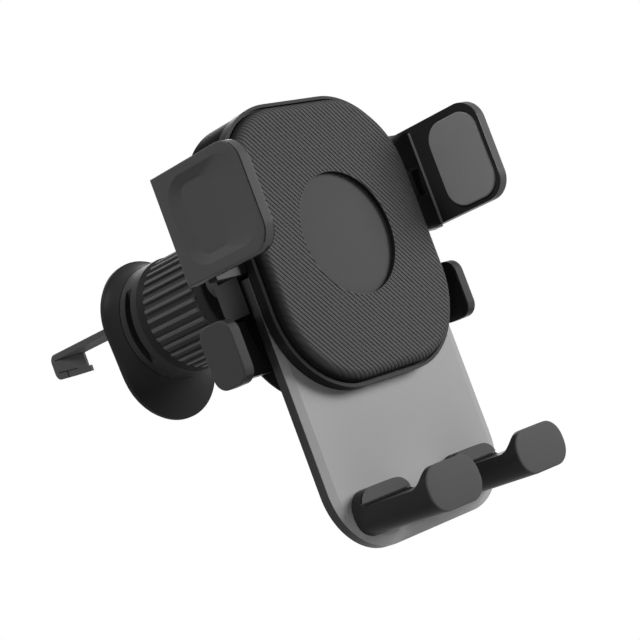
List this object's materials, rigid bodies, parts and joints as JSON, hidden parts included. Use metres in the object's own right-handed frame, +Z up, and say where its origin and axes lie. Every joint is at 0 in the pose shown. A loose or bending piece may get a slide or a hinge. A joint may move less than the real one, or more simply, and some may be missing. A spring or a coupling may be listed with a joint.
{
  "type": "air vent phone holder",
  "caption": "Phone holder for a car's air vent: ribbed square cradle with sliding side jaws and a pull-down foot, on a ball joint behind which a ribbed knob pulls a hook.",
  "frame": {"origin": "on the rubber face that rests on the air vent, on the axis of the knob and the ball", "axes": "+Y from the phone towards the vent, +Z up, +X to the right for someone who faces the phone"},
  "size_m": [0.099, 0.1511, 0.1192],
  "materials": {
    "cover": "matte, fine diagonal ribs",
    "disc": "smooth satin",
    "frame": "satin black",
    "casing": "gloss black",
    "screws": "zinc plated",
    "gear": "moulded, bare",
    "jaw": "satin black outside",
    "jaw_pad": "matte",
    "plate": "matte grey",
    "foot": "satin black",
    "foot_pad": "matte",
    "tab": "fine matte",
    "spring": "bright wire",
    "liner": "low-friction plastic",
    "nut": "satin, fluted",
    "ball": "satin black",
    "core": "satin black",
    "knob": "satin, ribbed",
    "collar": "satin",
    "base": "satin",
    "gasket": "matte rubber",
    "hook": "matte"
  },
  "bodies": {
    "vent_clip": {"ball_head": "ball", "clip_core": "core", "collar": "collar", "vent_base": "base", "base_gasket": "gasket"},
    "knob": {"clamp_knob": "knob"},
    "hook": {"vent_hook": "hook"},
    "cup": {"ball_cup": "liner"},
    "ring": {"ball_ring": "liner"},
    "cradle": {"front_cover": "cover", "centre_disc": "disc", "mid_frame": "frame", "rear_casing": "casing", "casing_screws": "screws"},
    "nut": {"lock_nut": "nut"},
    "gear": {"pinion": "gear"},
    "left_grip": {"left_jaw": "jaw", "left_jaw_pad": "jaw_pad"},
    "right_grip": {"right_jaw": "jaw", "right_jaw_pad": "jaw_pad"},
    "foot_slide": {"foot_plate": "plate", "left_foot": "foot", "right_foot": "foot", "left_foot_pad": "foot_pad", "right_foot_pad": "foot_pad", "foot_screws": "screws"},
    "left_tab": {"left_release_tab": "tab", "left_tab_spring": "spring"},
    "right_tab": {"right_release_tab": "tab", "right_tab_spring": "spring"}
  },
  "joints": [
    {"name": "knob_turn", "type": "hinge", "parent": "vent_clip", "child": "knob", "pos_m": [0, -0.0282, 0], "axis": [0, 1, 0], "range_deg": [0, 540]},
    {"name": "hook_pull", "type": "slide", "parent": "vent_clip", "child": "hook", "axis": [0, -1, 0], "range_m": [0, 0.009]},
    {"name": "head_pitch", "type": "hinge", "parent": "vent_clip", "child": "cup", "pos_m": [0, -0.0542, 0], "axis": [1, 0, 0], "range_deg": [-15, 15]},
    {"name": "head_yaw", "type": "hinge", "parent": "cup", "child": "ring", "pos_m": [0, -0.0542, 0], "axis": [0, 0, 1], "range_deg": [-15, 15]},
    {"name": "head_spin", "type": "hinge", "parent": "ring", "child": "cradle", "pos_m": [0, -0.0542, 0], "axis": [0, 1, 0], "continuous": true},
    {"name": "nut_turn", "type": "hinge", "parent": "cradle", "child": "nut", "pos_m": [0, -0.0542, 0], "axis": [0, 1, 0], "range_deg": [0, 90]},
    {"name": "left_jaw_slide", "type": "slide", "parent": "cradle", "child": "left_grip", "axis": [1, 0, 0], "range_m": [0, 0.0105]},
    {"name": "right_jaw_slide", "type": "slide", "parent": "cradle", "child": "right_grip", "axis": [-1, 0, 0], "range_m": [0, 0.0105]},
    {"name": "gear_turn", "type": "hinge", "parent": "cradle", "child": "gear", "pos_m": [0, -0.07785, 0.0117], "axis": [0, 1, 0], "range_deg": [0, 101]},
    {"name": "foot_pull", "type": "slide", "parent": "cradle", "child": "foot_slide", "axis": [0, 0, -1], "range_m": [0, 0.01]},
    {"name": "left_tab_press", "type": "slide", "parent": "cradle", "child": "left_tab", "axis": [1, 0, 0], "range_m": [0, 0.003], "stiffness_N_per_m": 800},
    {"name": "right_tab_press", "type": "slide", "parent": "cradle", "child": "right_tab", "axis": [-1, 0, 0], "range_m": [0, 0.003], "stiffness_N_per_m": 800}
  ],
  "couplings": [
    {"joint": "hook_pull", "follows": "knob_turn", "m_per_rad": 0.00095492},
    {"joint": "right_jaw_slide", "follows": "left_jaw_slide", "ratio": 1},
    {"joint": "gear_turn", "follows": "left_jaw_slide", "rad_per_m": 166.67}
  ]
}
